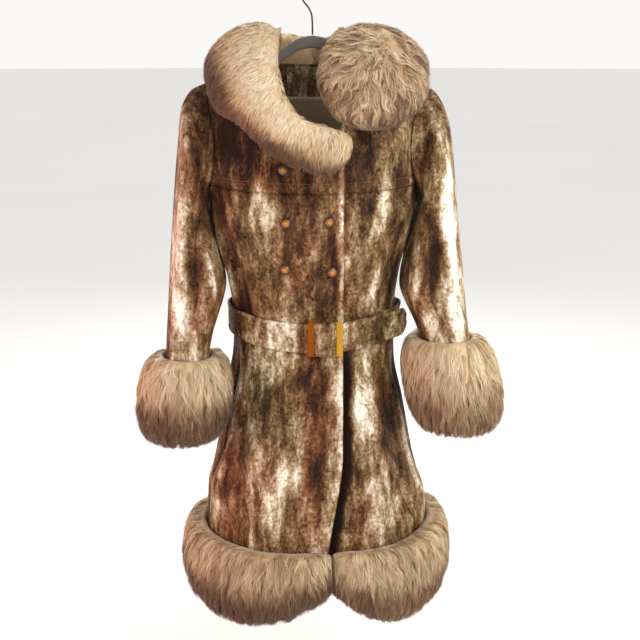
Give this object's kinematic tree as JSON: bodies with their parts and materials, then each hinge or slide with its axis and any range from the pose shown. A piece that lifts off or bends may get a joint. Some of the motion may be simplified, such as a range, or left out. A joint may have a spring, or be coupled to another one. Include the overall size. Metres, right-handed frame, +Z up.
{
  "type": "faux fur trimmed coat on a hanger",
  "caption": "Belted winter coat of crushed-pile cloth with long faux fur collar, cuffs and hem, hanging on a slim hanger with a wire hook.",
  "frame": {"origin": "inside top of the hanger's hook, where it bears on the rail that holds it", "axes": "+Z up along the hanging coat, -Y the coat's front, +X the wearer's left"},
  "size_m": [0.6703, 0.362, 1.1394],
  "materials": {
    "pile_cloth": "crushed pile cloth, mottled brown, taupe and cream, softly shiny",
    "lining": "smooth dark olive-brown lining",
    "long_fur": "long faux fur, cream to tan with brown roots",
    "gilt_metal": "polished gilt",
    "button_resin": "glossy amber resin with a darker rim",
    "hanger_plastic": "grey-brown flocked plastic",
    "hook_steel": "dark blackened wire"
  },
  "bodies": {
    "root": {"front_yoke_right": "pile_cloth", "front_yoke_left": "pile_cloth", "back_yoke": "pile_cloth", "front_right": "pile_cloth", "front_left": "pile_cloth", "back": "pile_cloth", "sleeve_right": "pile_cloth", "sleeve_left": "pile_cloth", "neck_facing": "pile_cloth", "belt": "pile_cloth", "back_lining": "lining", "collar_right": "long_fur", "collar_left": "long_fur", "cuff_right": "long_fur", "cuff_left": "long_fur", "hem_fur_right": "long_fur", "hem_fur_left": "long_fur", "buckle": "gilt_metal", "button_upper_right": "button_resin", "button_middle_right": "button_resin", "button_middle_left": "button_resin", "button_lower_right": "button_resin", "button_lower_left": "button_resin", "hanger_bar": "hanger_plastic", "hanger_hook": "hook_steel"}
  },
  "joints": []
}
